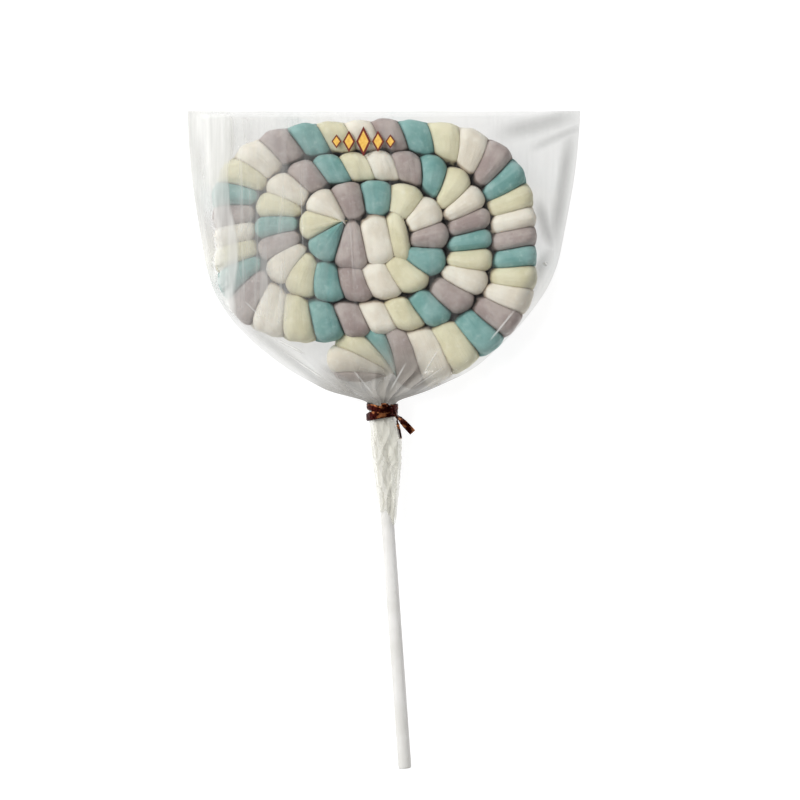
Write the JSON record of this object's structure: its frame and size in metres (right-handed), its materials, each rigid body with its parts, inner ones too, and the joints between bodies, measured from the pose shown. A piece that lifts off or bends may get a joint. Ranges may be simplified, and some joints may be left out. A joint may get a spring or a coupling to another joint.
{
  "type": "marshmallow lollipop",
  "caption": "Marshmallow lollipop: a twisted pastel rope coiled flat on a white stick, sealed in a clear film bag gathered and tied below the coil.",
  "frame": {"origin": "centre of the bounding box's bottom, where the lollipop rests on its back", "axes": "+Y towards the hem of the bag, along the lollipop's length; +Z out of the coil's shown face; +X to the right of the shown face"},
  "size_m": [0.1689, 0.2828, 0.0201],
  "materials": {
    "film": "clear glossy packing film, pleated at the neck",
    "white_plastic": "satin white",
    "copper_foil": "crinkled copper-brown foil",
    "lilac_marshmallow": "powdery matt marshmallow, lilac grey",
    "teal_marshmallow": "powdery matt marshmallow, grey teal",
    "yellow_marshmallow": "powdery matt marshmallow, pale yellow",
    "white_marshmallow": "powdery matt marshmallow, warm white",
    "print": "plain printed patch on the film, gold with a dark border"
  },
  "bodies": {
    "root": {"bag": "film", "stick": "white_plastic", "tie": "copper_foil"}
  },
  "joints": []
}
